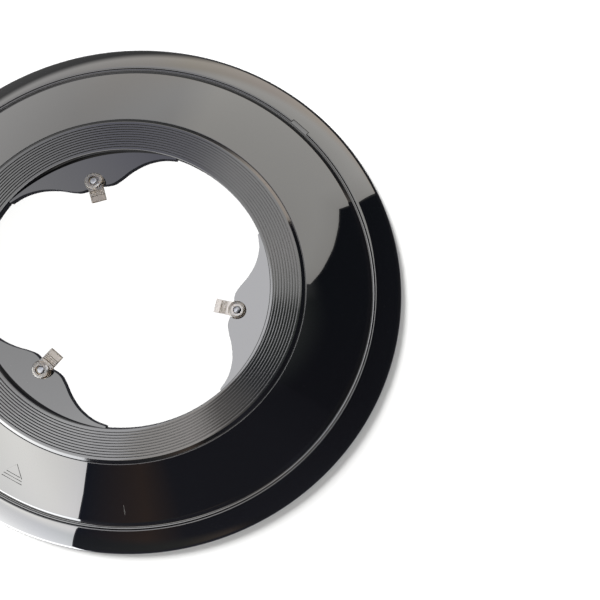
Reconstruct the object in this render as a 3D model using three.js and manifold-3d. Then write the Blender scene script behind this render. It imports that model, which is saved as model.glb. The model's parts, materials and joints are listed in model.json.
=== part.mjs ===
// Round trim collar for an appliance opening: a shallow domed ring in gloss black plastic.
// From outside in: an outer bezel, a plain sloping dish, a grooved band round the opening, and a
// carrier underneath whose three flat lobes reach into the opening. Each lobe holds a clear
// retaining clip that swivels on a rivet and locks a round insert in place.
// Millimetres, +Z up, origin on the base plane at the centre of the opening.
import * as THREE from "three";
import { mergeVertices } from "three/addons/utils/BufferGeometryUtils.js";
import Module from "manifold-3d";

const wasm = await Module();
wasm.setup();

// ---- driving sizes -------------------------------------------------------------------------
const OPENING_R = 73.2; // opening, between the lobes
const BAND_WIDTH = 18.6; // grooved band, measured across in plan
const DISH_WIDTH = 39.9; // plain sloping face
const BEZEL_WIDTH = 17.6; // outer bezel
const LIP_HEIGHT = 4.2; // upright outer edge of the bezel
const BEZEL_RISE = 11.0; // height gained across the bezel
const DISH_RISE = 21.9; // height gained across the dish
const BAND_RISE = 3.8; // height gained across the band
const SKIN = 2.4; // moulded wall of bezel and dish
const BAND_SKIN = 1.8; // wall of the grooved band
const GAP = 0.3; // clearance between pieces that touch
const SEAM_GAP = 0.4; // visible gap between bezel and dish

const LEDGE_WIDTH = 10.0; // shelf inside the bezel that the dish stands on
const LEDGE_DROP = 4.7; // from the seam down to the shelf
const BEAD_WIDTH = 3.3; // rounded step along the dish's outer edge
const BEAD_HEIGHT = 1.9;
const BEZEL_CROWN = 0.5; // how far the bezel's slope bulges
const EDGE_ROUND = 1.4; // rounding of the bezel's outer edge
const GASKET_WIDTH = 6.0;

const BAND_EDGE = 1.4; // rounded step where the band stands above the dish
const LIP_DROP = 4.0; // depth of the band's turned-down inner lip
const LIP_SKIN = 1.6;
const GROOVES = 6; // coarse grooves; the real band has two or three finer ones in place of each
const GROOVE_DEPTH = 0.35;
const GROOVE_MARGIN = 1.6; // plain strip on each side of the grooves

const LOBES = 3;
const FIRST_LOBE_DEG = 108; // direction of the first lobe
const LOBE_TILT = THREE.MathUtils.degToRad(8); // the lobes rise towards the centre
const LOBE_SKIN = 3.4;
const ROOT_DROP = 2.4; // from the band's inner edge down to the lobe at its root
const SKIRT_SKIN = 1.7; // upright wall that carries a lobe at its root
const SKIRT_ARC = 26; // half of that wall's length, along the opening's circle
// Half of a lobe's edge: distance along the opening's circle, and how far it reaches in.
const LOBE_EDGE = [[0, 17.7], [10, 18.1], [16, 15.8], [23, 11.0], [30.5, 6.3], [38.5, 2.7], [46, 0.8]];
const CARRIER_INSET = 4.0; // carrier ring's inner edge, back from the opening
const CARRIER_MARGIN = 1.4; // carrier ring's outer edge, in from the band's
const CARRIER_SKIN = 2.2;

const RIVET_MARGIN = 2.0; // clip's rivet, back from the lobe's inner edge
const RIVET_R = 1.2;
const RIVET_HEAD_R = 2.0;
const RIVET_HEAD_H = 1.0;
const HEAD_R = 4.8; // round end of a clip
const HEAD_H = 2.6;
const TONGUE_W = 7.2;
const TONGUE_REACH = 11.3; // from the rivet to the tongue's end
const TONGUE_H = 1.3;
const CLIP_STEP_H = 1.9; // raised block behind the tongue
const CLIP_STEP_REACH = 5.4;
const RIB = 0.45; // grip ribs across the tongue
const WASHER_R = 3.4; // slip washer, in a recess under the clip's round end
const WASHER_H = 0.4;

const SCREWS = 6;
const SCREW_R = 1.3;
const SCREW_HEAD_R = 2.7;
const SCREW_HEAD_H = 1.8;
const SOCKET_R = 1.2;
const SOCKET_H = 0.9;
const BOSS_R = 3.1;
const CARRIER_SCREW_SPREAD = THREE.MathUtils.degToRad(19); // either side of each lobe
const RIM_SCREW_TURN = THREE.MathUtils.degToRad(30);

const KEY_DEG = 50.8; // locating key between dish and bezel
const KEY_WIDTH = 6.8;
const KEY_REACH = 2.4;
const KEY_DEPTH = 3.4;

const RING_STEPS = 48; // facets round the large rings
const SMALL_STEPS = 12; // facets round screws, bosses and clips
const CURVE_STEPS = 3; // points along each stretch of a lobe's edge
const FAR = 400; // larger than the whole collar, for cutting blocks

// ---- sizes that follow ----------------------------------------------------------------------
const BAND_R = OPENING_R + BAND_WIDTH;
const SEAM_R = BAND_R + GAP + DISH_WIDTH;
const BEZEL_IN_R = SEAM_R + SEAM_GAP;
const OUTER_R = BEZEL_IN_R + BEZEL_WIDTH;
const SEAM_Z = LIP_HEIGHT + BEZEL_RISE;
const DISH_Z = SEAM_Z + DISH_RISE;
const BAND_Z = DISH_Z + BAND_EDGE;
const OPENING_Z = BAND_Z + BAND_RISE;
const LEDGE_Z = SEAM_Z - LEDGE_DROP;
const BAND_SLOPE = BAND_RISE / BAND_WIDTH;
const DISH_SLOPE = (DISH_RISE - BEAD_HEIGHT) / (DISH_WIDTH - BEAD_WIDTH);
const DISH_FALL = SKIN * Math.hypot(1, DISH_SLOPE); // dish's wall, measured straight down
const BEZEL_FALL = SKIN * Math.hypot(1, BEZEL_RISE / BEZEL_WIDTH);
const FLANGE_IN_R = OPENING_R + CARRIER_INSET + GAP;
const CARRIER_IN_R = OPENING_R + CARRIER_INSET;
const CARRIER_R = BAND_R - CARRIER_MARGIN;
const CARRIER_Z = bandZ(BAND_R) - BAND_SKIN - GAP - SKIN - GAP; // carrier ring's top
const CLIP_R = OPENING_R - LOBE_EDGE[0][1] + RIVET_MARGIN;
const CLIP_Z = GAP;
const RIVET_HEAD_Z = CLIP_Z + HEAD_H - RIVET_HEAD_H;
const RIM_SCREW_R = SEAM_R - LEDGE_WIDTH / 2 - GAP;
const CARRIER_SCREW_R = CARRIER_R - BOSS_R - 2 * GAP;

function bandZ(r) {
  return OPENING_Z - (r - OPENING_R) * BAND_SLOPE;
}

function dishZ(r) {
  return DISH_Z - (r - BAND_R - GAP) * DISH_SLOPE;
}

function bezelZ(r) {
  return SEAM_Z - ((r - BEZEL_IN_R) * BEZEL_RISE) / BEZEL_WIDTH;
}

function lobeZ(along) {
  return OPENING_Z - ROOT_DROP + (OPENING_R - along) * Math.tan(LOBE_TILT);
}

function lobeAngle(index) {
  return THREE.MathUtils.degToRad(FIRST_LOBE_DEG) - (index * 2 * Math.PI) / LOBES;
}

// ---- solids -----------------------------------------------------------------------------------
function solid(geometry) {
  const g = geometry.clone();
  g.deleteAttribute("normal");
  g.deleteAttribute("uv");
  const merged = mergeVertices(g, 1e-4);
  const vertProperties = new Float32Array(merged.attributes.position.array);
  const triVerts = new Uint32Array(merged.index.array);
  return new wasm.Manifold(new wasm.Mesh({ numProp: 3, vertProperties, triVerts }));
}

function geometry(manifold) {
  const mesh = manifold.getMesh();
  const g = new THREE.BufferGeometry();
  g.setAttribute("position", new THREE.BufferAttribute(new Float32Array(mesh.vertProperties), 3));
  g.setIndex(new THREE.BufferAttribute(new Uint32Array(mesh.triVerts), 1));
  g.computeVertexNormals();
  return g;
}

// A ring or disc turned from [radius, z] points that run anticlockwise round the section.
function turned(points, steps) {
  const closed = points[0][0] === 0 ? points : [...points, points[0]];
  const profile = closed.map(([r, z]) => new THREE.Vector2(r, z));
  return new THREE.LatheGeometry(profile, steps).rotateX(Math.PI / 2);
}

function post(r, z0, z1, x = 0, y = 0) {
  const g = new THREE.CylinderGeometry(r, r, z1 - z0, SMALL_STEPS);
  return solid(g.rotateX(Math.PI / 2).translate(x, y, (z0 + z1) / 2));
}

function block(x0, x1, width, z0, z1) {
  return solid(new THREE.BoxGeometry(x1 - x0, width, z1 - z0).translate((x0 + x1) / 2, 0, (z0 + z1) / 2));
}

function plate(shape, z0, z1) {
  const g = new THREE.ExtrudeGeometry(shape, { depth: z1 - z0, bevelEnabled: false, steps: 1 });
  return solid(g.translate(0, 0, z0));
}

function turn(manifold, angle) {
  return manifold.rotate([0, 0, THREE.MathUtils.radToDeg(angle)]);
}

function addAt(manifold, places, make) {
  return places.reduce((sum, place) => sum.add(make(place)), manifold);
}

function cutAt(manifold, places, make) {
  return places.reduce((sum, place) => sum.subtract(make(place)), manifold);
}

function around(count, r, start) {
  return Array.from({ length: count }, (_, i) => {
    const angle = start + (i * 2 * Math.PI) / count;
    return [r * Math.cos(angle), r * Math.sin(angle)];
  });
}

const rimScrews = around(SCREWS, RIM_SCREW_R, RIM_SCREW_TURN);
const carrierScrews = [1, -1].flatMap((side) =>
  around(LOBES, CARRIER_SCREW_R, lobeAngle(0) + side * CARRIER_SCREW_SPREAD),
);

// ---- bezel, dish and gasket -----------------------------------------------------------------------
function keyBlock(clearance) {
  const top = clearance > 0 ? SEAM_Z + FAR / 8 : SEAM_Z + GAP;
  const x1 = SEAM_R + KEY_REACH + clearance;
  const key = block(SEAM_R - SKIN / 2, x1, KEY_WIDTH + 2 * clearance, SEAM_Z - KEY_DEPTH - clearance, top);
  return turn(key, THREE.MathUtils.degToRad(KEY_DEG));
}

function bezel() {
  const skirtR = BEZEL_IN_R + SKIN;
  const midR = (BEZEL_IN_R + OUTER_R) / 2;
  const inner = OUTER_R - SKIN;
  const section = [
    [inner, 0],
    [OUTER_R - EDGE_ROUND / 2, 0],
    [OUTER_R, EDGE_ROUND / 2],
    [OUTER_R, LIP_HEIGHT - EDGE_ROUND],
    [OUTER_R - EDGE_ROUND * 0.3, LIP_HEIGHT - EDGE_ROUND * 0.3],
    [OUTER_R - EDGE_ROUND, bezelZ(OUTER_R - EDGE_ROUND)],
    [midR, bezelZ(midR) + BEZEL_CROWN],
    [BEZEL_IN_R + 0.6, bezelZ(BEZEL_IN_R + 0.6)],
    [BEZEL_IN_R, SEAM_Z - 0.5],
    [BEZEL_IN_R, LEDGE_Z],
    [SEAM_R - LEDGE_WIDTH, LEDGE_Z],
    [SEAM_R - LEDGE_WIDTH, LEDGE_Z - SKIN],
    [BEZEL_IN_R, LEDGE_Z - SKIN],
    [BEZEL_IN_R, GAP],
    [skirtR, GAP],
    [skirtR, bezelZ(skirtR) - BEZEL_FALL],
    [inner, bezelZ(inner) - BEZEL_FALL],
  ];
  const ring = solid(turned(section, RING_STEPS)).subtract(keyBlock(GAP));
  return geometry(cutAt(ring, rimScrews, ([x, y]) => post(SCREW_R + GAP, 0, LEDGE_Z + 1, x, y)));
}

function dish() {
  const foot = LEDGE_Z + GAP;
  const land = SEAM_R - BEAD_WIDTH / 3;
  const slopeR = SEAM_R - BEAD_WIDTH;
  const flangeZ = (r) => bandZ(r) - BAND_SKIN - GAP;
  const recessR = BAND_R + GAP;
  const section = [
    [SEAM_R - SKIN, foot],
    [SEAM_R, foot],
    [SEAM_R, SEAM_Z],
    [land, SEAM_Z + GAP / 2],
    [land - BEAD_WIDTH * 0.2, SEAM_Z + BEAD_HEIGHT * 0.62],
    [slopeR, SEAM_Z + BEAD_HEIGHT],
    [recessR, DISH_Z],
    [recessR, flangeZ(recessR)],
    [FLANGE_IN_R, flangeZ(FLANGE_IN_R)],
    [FLANGE_IN_R, flangeZ(FLANGE_IN_R) - SKIN],
    [BAND_R, flangeZ(BAND_R) - SKIN],
    [recessR + SKIN, dishZ(recessR + SKIN) - DISH_FALL],
    [SEAM_R - SKIN, dishZ(SEAM_R - SKIN) - DISH_FALL],
  ];
  let body = solid(turned(section, RING_STEPS)).add(keyBlock(0));
  const bossTop = dishZ(RIM_SCREW_R) - DISH_FALL / 2;
  body = addAt(body, rimScrews, ([x, y]) => post(BOSS_R, foot, bossTop, x, y));
  body = cutAt(body, rimScrews, ([x, y]) => post(SCREW_R + GAP, foot - 1, rimScrewTop() + GAP, x, y));
  return geometry(cutAt(body, carrierScrews, ([x, y]) => post(BOSS_R + GAP, CARRIER_Z - 1, BAND_Z, x, y)));
}

function rimScrewTop() {
  return dishZ(RIM_SCREW_R + BOSS_R) - DISH_FALL - GAP;
}

function gasket() {
  const r0 = BEZEL_IN_R + SKIN + GAP;
  const r1 = r0 + GASKET_WIDTH;
  const top = bezelZ(r1) - BEZEL_FALL - GAP;
  return turned([[r0, GAP], [r1, GAP], [r1, top], [r0, top]], RING_STEPS);
}

// ---- grooved band ------------------------------------------------------------------------------
// The groove tops and bottoms across the band, from its outer edge to its inner one.
function grooveLine() {
  const from = BAND_R - GROOVE_MARGIN;
  const pitch = (BAND_WIDTH - 2 * GROOVE_MARGIN) / GROOVES;
  return Array.from({ length: GROOVES }, (_, i) => {
    const r = from - i * pitch;
    const low = r - pitch / 2;
    return [[r, bandZ(r)], [low, bandZ(low) - GROOVE_DEPTH]];
  }).flat();
}

function band() {
  const under = (r) => bandZ(r) - BAND_SKIN;
  const lipR = OPENING_R + LIP_SKIN;
  const inner = OPENING_R + GROOVE_MARGIN;
  const section = [
    [BAND_R, under(BAND_R)],
    [BAND_R, DISH_Z + BAND_EDGE * 0.2],
    [BAND_R - BAND_EDGE * 0.3, DISH_Z + BAND_EDGE * 0.75],
    ...grooveLine(),
    [inner, bandZ(inner)],
    [OPENING_R + 0.4, OPENING_Z - 0.1],
    [OPENING_R, OPENING_Z - 0.6],
    [OPENING_R, OPENING_Z - LIP_DROP],
    [lipR, OPENING_Z - LIP_DROP],
    [lipR, under(lipR)],
  ];
  let body = solid(turned(section, RING_STEPS));
  const bossEnd = CARRIER_Z + GAP;
  body = addAt(body, carrierScrews, ([x, y]) => post(BOSS_R, bossEnd, bandZ(CARRIER_SCREW_R) - BAND_SKIN / 2, x, y));
  body = cutAt(body, carrierScrews, ([x, y]) => post(SCREW_R + GAP, bossEnd - 1, carrierScrewTop() + GAP, x, y));
  for (let i = 0; i < LOBES; i += 1) {
    const slot = plate(lobeSector(lipR + GAP, GAP), 0, bandZ(lipR) - BAND_SKIN);
    body = body.subtract(turn(slot, lobeAngle(i)));
  }
  return geometry(body);
}

function carrierScrewTop() {
  return bandZ(CARRIER_SCREW_R + BOSS_R) - BAND_SKIN;
}

// ---- lobes and their carrier ----------------------------------------------------------------------
// Half-angle that a lobe takes on the opening's circle.
function lobeHalfAngle(clearance) {
  return (LOBE_EDGE[LOBE_EDGE.length - 1][0] + clearance) / OPENING_R;
}

// A pie slice out to a radius, as wide as a lobe's root.
function lobeSector(r, clearance) {
  const half = lobeHalfAngle(clearance);
  const shape = new THREE.Shape([new THREE.Vector2(0, 0), polar(r, -half)]);
  shape.absarc(0, 0, r, -half, half, false);
  shape.closePath();
  return shape;
}

// A lobe seen from above, from its edge out to the given radius.
function lobeShape(r) {
  const half = lobeHalfAngle(0);
  const far = LOBE_EDGE.map(([s, reach]) => polar(OPENING_R - reach, s / OPENING_R));
  const near = LOBE_EDGE.slice(1).map(([s, reach]) => polar(OPENING_R - reach, -s / OPENING_R));
  const curve = new THREE.SplineCurve([...near.reverse(), ...far]);
  const edge = curve.getPoints(CURVE_STEPS * (LOBE_EDGE.length - 1) * 2);
  const shape = new THREE.Shape(edge);
  shape.absarc(0, 0, r, half, -half, true);
  shape.closePath();
  return shape;
}

function polar(r, angle) {
  return new THREE.Vector2(r * Math.cos(angle), r * Math.sin(angle));
}

// Everything under the lobe's top plane, lowered by drop.
function underLobe(drop) {
  const g = new THREE.BoxGeometry(FAR, FAR, FAR).translate(0, 0, -FAR / 2 - drop);
  return solid(g.rotateY(LOBE_TILT).translate(OPENING_R, 0, OPENING_Z - ROOT_DROP));
}

function lobe() {
  const base = CARRIER_Z - CARRIER_SKIN;
  const skirtR = OPENING_R + LIP_SKIN;
  const underBand = bandZ(skirtR) - BAND_SKIN - GAP;
  const sheet = plate(lobeShape(OPENING_R - GAP), base, FAR).intersect(underLobe(0)).subtract(underLobe(LOBE_SKIN));
  const wall = plate(ringSector(OPENING_R - SKIRT_SKIN, skirtR), base, underBand).intersect(underLobe(0));
  const foot = plate(ringSector(OPENING_R - SKIRT_SKIN, CARRIER_IN_R + 1), base, CARRIER_Z);
  const bore = post(RIVET_R + GAP, -FAR / 8, FAR / 8);
  const tilted = bore.rotate([0, THREE.MathUtils.radToDeg(LOBE_TILT), 0]).translate([CLIP_R, 0, lobeZ(CLIP_R)]);
  return sheet.add(wall).add(foot).subtract(tilted);
}

// The plan of the upright wall between two radii.
function ringSector(r0, r1) {
  const half = SKIRT_ARC / OPENING_R;
  const shape = new THREE.Shape();
  shape.absarc(0, 0, r1, -half, half, false);
  shape.absarc(0, 0, r0, half, -half, true);
  shape.closePath();
  return shape;
}

function carrier() {
  const base = CARRIER_Z - CARRIER_SKIN;
  const section = [[CARRIER_IN_R, base], [CARRIER_R, base], [CARRIER_R, CARRIER_Z], [CARRIER_IN_R, CARRIER_Z]];
  let body = solid(turned(section, RING_STEPS));
  for (let i = 0; i < LOBES; i += 1) {
    body = body.add(turn(lobe(), lobeAngle(i)));
  }
  return geometry(cutAt(body, carrierScrews, ([x, y]) => post(SCREW_R + GAP, base - 1, CARRIER_Z + 1, x, y)));
}

// ---- clips and fasteners -------------------------------------------------------------------------
// A clip lies with its rivet on the local origin, its tongue along -X and the lobe's face at z = 0.
function clip() {
  const top = CLIP_Z + HEAD_H;
  const headSection = [
    [0, CLIP_Z], [HEAD_R, CLIP_Z], [HEAD_R, top - 0.7], [HEAD_R - 0.4, top - 0.2], [HEAD_R - 1.0, top], [0, top],
  ];
  let body = solid(turned(headSection, SMALL_STEPS * 1.5));
  body = body.add(block(-TONGUE_REACH, -HEAD_R / 2, TONGUE_W, CLIP_Z, CLIP_Z + TONGUE_H));
  body = body.add(block(-CLIP_STEP_REACH, -HEAD_R / 2, TONGUE_W, CLIP_Z, CLIP_Z + CLIP_STEP_H));
  for (let i = 1; i <= 3; i += 1) {
    const x = -CLIP_STEP_REACH - (2 * i - 1) * RIB;
    body = body.add(block(x - RIB, x, TONGUE_W - 2 * RIB, CLIP_Z, CLIP_Z + TONGUE_H + RIB / 2));
  }
  body = body.subtract(post(WASHER_R + GAP, CLIP_Z - 1, CLIP_Z + WASHER_H + GAP));
  body = body.subtract(post(RIVET_R + GAP, CLIP_Z - 1, top + 1));
  return geometry(body.subtract(post(RIVET_HEAD_R + GAP, RIVET_HEAD_Z - GAP, top + 1)));
}

function rivet() {
  const top = CLIP_Z + HEAD_H;
  const tail = -LOBE_SKIN - GAP;
  return turned([
    [0, tail - RIVET_HEAD_H], [RIVET_HEAD_R, tail - RIVET_HEAD_H], [RIVET_HEAD_R, tail], [RIVET_R, tail],
    [RIVET_R, RIVET_HEAD_Z], [RIVET_HEAD_R, RIVET_HEAD_Z], [RIVET_HEAD_R * 0.8, top - 0.3], [0, top],
  ], SMALL_STEPS);
}

function washer() {
  const r0 = RIVET_R + GAP;
  const z1 = CLIP_Z + WASHER_H;
  return turned([[r0, CLIP_Z], [WASHER_R, CLIP_Z], [WASHER_R, z1], [r0, z1]], SMALL_STEPS * 1.5);
}

// A pan-head screw put in from below: seat is the underside it bears on, tip its far end.
function screw(seat, tip) {
  const top = seat - GAP;
  const low = top - SCREW_HEAD_H;
  return turned([
    [0, low + SOCKET_H], [SOCKET_R, low + SOCKET_H], [SOCKET_R, low], [SCREW_HEAD_R - 0.5, low],
    [SCREW_HEAD_R, low + 0.6], [SCREW_HEAD_R, top], [SCREW_R, top], [SCREW_R, tip - 0.8], [0, tip],
  ], SMALL_STEPS);
}

// ---- assembly ----------------------------------------------------------------------------------
const BLACK = { color: 0x0b0b0d, roughness: 0.08, metalness: 0 };
const CLEAR = { color: 0xd9d2bd, roughness: 0.15, metalness: 0 };
const NYLON = { color: 0xf0f0ea, roughness: 0.5, metalness: 0 };
const STEEL = { color: 0xb8bbc0, roughness: 0.3, metalness: 1 };
const FOAM = { color: 0x1b1b1b, roughness: 0.95, metalness: 0 };

const collar = new THREE.Group();

function piece(name, shape, look, parent = collar) {
  const mesh = new THREE.Mesh(shape, new THREE.MeshStandardMaterial(look));
  mesh.name = name;
  parent.add(mesh);
  return mesh;
}

piece("outer_bezel", bezel(), BLACK);
piece("dish_shell", dish(), BLACK);
piece("grooved_band", band(), BLACK);
piece("lobe_carrier", carrier(), BLACK);
piece("base_gasket", gasket(), FOAM);

for (let i = 0; i < LOBES; i += 1) {
  const spoke = new THREE.Group();
  const seat = new THREE.Group();
  spoke.rotation.z = lobeAngle(i);
  seat.position.set(CLIP_R, 0, lobeZ(CLIP_R));
  seat.rotation.y = LOBE_TILT;
  spoke.add(seat);
  collar.add(spoke);
  piece(`retaining_clip_${i + 1}`, clip(), CLEAR, seat);
  piece(`clip_rivet_${i + 1}`, rivet(), STEEL, seat);
  piece(`clip_washer_${i + 1}`, washer(), NYLON, seat);
}

rimScrews.forEach(([x, y], i) => {
  piece(`rim_screw_${i + 1}`, screw(LEDGE_Z - SKIN, rimScrewTop()), STEEL).position.set(x, y, 0);
});

carrierScrews.forEach(([x, y], i) => {
  const shape = screw(CARRIER_Z - CARRIER_SKIN, carrierScrewTop());
  piece(`carrier_screw_${i + 1}`, shape, STEEL).position.set(x, y, 0);
});

export default collar;
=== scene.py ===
"""Gloss black trim collar with three swivelling clear clips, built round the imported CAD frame."""
import json
import math

import bpy
from mathutils import Matrix, Vector


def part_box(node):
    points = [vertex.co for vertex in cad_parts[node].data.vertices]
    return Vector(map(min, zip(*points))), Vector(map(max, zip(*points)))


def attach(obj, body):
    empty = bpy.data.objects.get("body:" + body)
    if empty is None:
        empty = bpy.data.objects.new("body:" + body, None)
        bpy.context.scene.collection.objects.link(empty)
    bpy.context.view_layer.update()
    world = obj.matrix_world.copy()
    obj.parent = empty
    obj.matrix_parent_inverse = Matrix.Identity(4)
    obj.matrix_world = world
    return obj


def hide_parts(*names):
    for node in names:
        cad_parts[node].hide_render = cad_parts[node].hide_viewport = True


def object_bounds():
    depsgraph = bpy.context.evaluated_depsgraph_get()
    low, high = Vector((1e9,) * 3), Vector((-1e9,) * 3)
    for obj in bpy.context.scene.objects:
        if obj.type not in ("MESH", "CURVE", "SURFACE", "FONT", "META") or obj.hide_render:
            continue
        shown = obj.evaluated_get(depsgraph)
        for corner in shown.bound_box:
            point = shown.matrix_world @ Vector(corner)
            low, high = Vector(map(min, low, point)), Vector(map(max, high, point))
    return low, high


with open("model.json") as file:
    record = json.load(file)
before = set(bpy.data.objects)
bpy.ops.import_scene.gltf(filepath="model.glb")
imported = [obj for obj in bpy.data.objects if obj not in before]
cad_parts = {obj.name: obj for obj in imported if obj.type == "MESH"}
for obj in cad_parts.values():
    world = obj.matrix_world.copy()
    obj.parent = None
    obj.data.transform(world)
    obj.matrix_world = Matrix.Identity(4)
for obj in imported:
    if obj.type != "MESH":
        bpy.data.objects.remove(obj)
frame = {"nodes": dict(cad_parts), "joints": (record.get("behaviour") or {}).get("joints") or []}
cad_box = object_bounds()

bl_info = {
    "name": "Trim Collar",
    "version": (1, 0, 0),
    "blender": (4, 5, 0),
    "location": "3D View > Sidebar > Collar",
    "description": "Builds a gloss black trim collar with three clear swivelling clips",
    "category": "Add Mesh",
}

MM = 0.001

# ---- sizes in millimetres: the rings' edges come from the frame, the walls are the mouldings' own ----
GAP = 0.3  # clearance between pieces that are screwed together
SKIN = 2.4  # wall of the bezel and the dish
OUTER_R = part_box("outer_bezel")[1].x / MM
BASE_Z = cad_box[0].z / MM
BEZEL_WIDTH = 17.6
BEZEL_RISE = 11.0
BEZEL_CROWN = 2.0  # sets how far the sloping face bulges
LIP_HEIGHT = 4.2
SEAM_GAP = 0.4
LEDGE_DROP = 4.7
LEDGE_WIDTH = 10.0
BEZEL_IN_R = OUTER_R - BEZEL_WIDTH
BEZEL_FALL = SKIN * math.hypot(1, BEZEL_RISE / BEZEL_WIDTH)  # the sloping wall, measured upright
SEAM_R = BEZEL_IN_R - SEAM_GAP
SEAM_Z = LIP_HEIGHT + BEZEL_RISE
LEDGE_Z = SEAM_Z - LEDGE_DROP

BAND_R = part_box("grooved_band")[1].x / MM
BAND_WIDTH = 18.6
BAND_RISE = 3.8
BAND_EDGE = 1.4
BAND_SKIN = 1.8
BAND_TRIM = 0.1  # the band's inner edge ends this far below the slope's own line
OPENING_R = BAND_R - BAND_WIDTH
OPENING_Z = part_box("grooved_band")[1].z / MM + BAND_TRIM
BAND_SLOPE = BAND_RISE / BAND_WIDTH
SHOULDER_WIDTH = 1.9
RIDGES_FROM = 2.5  # the grooved field starts this far inside the band's outer edge
RIDGES_TO = 1.6  # and ends this far outside the opening
GROOVE_WAVE = [(0.0, 0.0), (0.50, 0.0), (0.56, 0.08), (0.64, 1.0), (0.86, 1.0), (0.94, 0.08)]
LIP_DROP = 4.0
LIP_SKIN = 1.6

BEAD_WIDTH = 3.3
BEAD_HEIGHT = 1.9
DISH_Z = OPENING_Z - BAND_RISE - BAND_EDGE
RECESS_R = BAND_R + GAP
DISH_SLOPE = (DISH_Z - SEAM_Z - BEAD_HEIGHT) / (SEAM_R - BEAD_WIDTH - RECESS_R)
DISH_FALL = SKIN * math.hypot(1, DISH_SLOPE)  # the sloping wall, measured upright
# The seam's steps, from the seam inwards: distance from the seam, height above it, rounding.
SEAM_STEPS = [(0.0, -0.15, 0.3), (0.7, -0.15, 0.15), (0.95, -0.45, 0.1), (1.3, -0.35, 0.2)]
BEAD_TOP = 4.1  # the bead's steep side meets the dish this far from the seam
BEAD_ROUND = 2.2
FLANGE_IN_R = OPENING_R + 4.3
KEY_DEG = 49.6
KEY_WIDTH = 11.6
KEY_REACH = 2.0
KEY_DEPTH = 3.4
MARK_R = 112.0
MARK_DEG = -120.9
SCRATCH_R = 119.6
SCRATCH_DEG = -91.8
SCRATCH_LENGTH = 6.0
SCRATCH_WIDTH = 0.26

CARRIER_IN_R = OPENING_R + 4.0
CARRIER_R = BAND_R - 1.4
CARRIER_SKIN = 2.2
CARRIER_Z = OPENING_Z - BAND_RISE - BAND_SKIN - SKIN - 2 * GAP
LOBE_SKIN = 3.4
# Half a lobe's free edge: distance along the opening's edge, reach into the opening.
LOBE_EDGE = [(0, 17.7), (10, 18.1), (16, 15.8), (23, 11.0), (30.5, 6.3), (38.5, 2.7), (46, 0.8)]
SKIRT_SKIN = 1.7
SKIRT_ARC = 26

BOSS_R = 3.1
RIM_BOSS_R = 2.4
SCREW_R = 1.3
SCREW_HEAD_R = 2.7
SCREW_HEAD_H = 1.8
THREAD_PITCH = 0.6
THREAD_DEPTH = 0.22
SOCKET_R = 1.2
SOCKET_DEPTH = 0.9
RIVET_R = 1.2
RIVET_HEAD_R = 2.0
RIVET_DOME = 0.85
RIVET_HEAD_H = 1.0
CLIP_Z = GAP
HEAD_R = 4.8
HEAD_H = 2.6
TONGUE_W = 7.2
TONGUE_REACH = 11.3
TONGUE_H = 1.3
STEP_REACH = 5.4
STEP_H = 1.9
RIBS = 3
RIB_PITCH = 0.9
RIB_TOP = 0.2
RIB_ROOT = 0.25
POCKET_FROM, POCKET_TO = 8.0, 10.75
POCKET_HALF = 3.0
POCKET_Z = 1.15
WASHER_R = 3.4
WASHER_H = 0.4

RING_STEPS = 192  # fine enough that no facet shows on the 300 mm ring
SMALL_STEPS = 40
ARC_STEPS = 4  # points round each moulded edge
WELD = 2e-7  # metres: points closer than this are one point

CLIP_JOINTS = sorted(frame["joints"], key=lambda joint: joint["name"])
RIM_SCREWS = sorted(n for n in frame["nodes"] if n.startswith("rim_screw"))
CARRIER_SCREWS = sorted(n for n in frame["nodes"] if n.startswith("carrier_screw"))


def band_z(r):
    """Height of the band's face at a radius, and so on for the other faces."""
    return OPENING_Z - (r - OPENING_R) * BAND_SLOPE


def dish_z(r):
    return DISH_Z - (r - RECESS_R) * DISH_SLOPE


def bezel_z(r):
    return SEAM_Z - (r - BEZEL_IN_R) * BEZEL_RISE / BEZEL_WIDTH


def lobe_z(along):
    """Height of a lobe's face at a distance from the axis, along the lobe's own direction."""
    joint = CLIP_JOINTS[0]
    x, y, z = joint["pos_m"]
    tilt = math.acos(joint["axis"][2])
    return z / MM + (math.hypot(x, y) / MM - along) * math.tan(tilt)


def polar(r, angle, z=0.0):
    return Vector((r * math.cos(angle), r * math.sin(angle), z))


# ---- modelling helpers -------------------------------------------------------------------------
def edit(mode):
    """Goes to Object mode or Edit mode."""
    bpy.ops.object.mode_set(mode=mode)


def only(piece):
    """Selects this object and nothing else."""
    bpy.ops.object.select_all(action="DESELECT")
    piece.select_set(True)
    bpy.context.view_layer.objects.active = piece


def outline(name, points, closed=True):
    """Draws a line from point to point, in millimetres, by extruding one vertex."""
    spots = [Vector(p) * MM for p in points]
    bpy.ops.object.select_all(action="DESELECT")
    bpy.ops.mesh.primitive_plane_add(size=MM, location=spots[0])
    piece = bpy.context.active_object
    piece.name = piece.data.name = name
    edit("EDIT")
    bpy.ops.mesh.select_mode(type="VERT")
    bpy.ops.mesh.merge(type="CENTER")
    ends = spots[1:] + spots[:1] if closed else spots[1:]
    for here, there in zip(spots, ends):
        bpy.ops.mesh.extrude_vertices_move(TRANSFORM_OT_translate={"value": there - here})
    weld()
    edit("OBJECT")
    bpy.ops.object.transform_apply(location=True, rotation=True, scale=True)
    return piece


def weld():
    """In edit mode: merges doubles and turns every face outwards."""
    bpy.ops.mesh.select_all(action="SELECT")
    bpy.ops.mesh.remove_doubles(threshold=WELD)
    bpy.ops.mesh.select_all(action="SELECT")
    bpy.ops.mesh.normals_make_consistent(inside=False)


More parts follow.
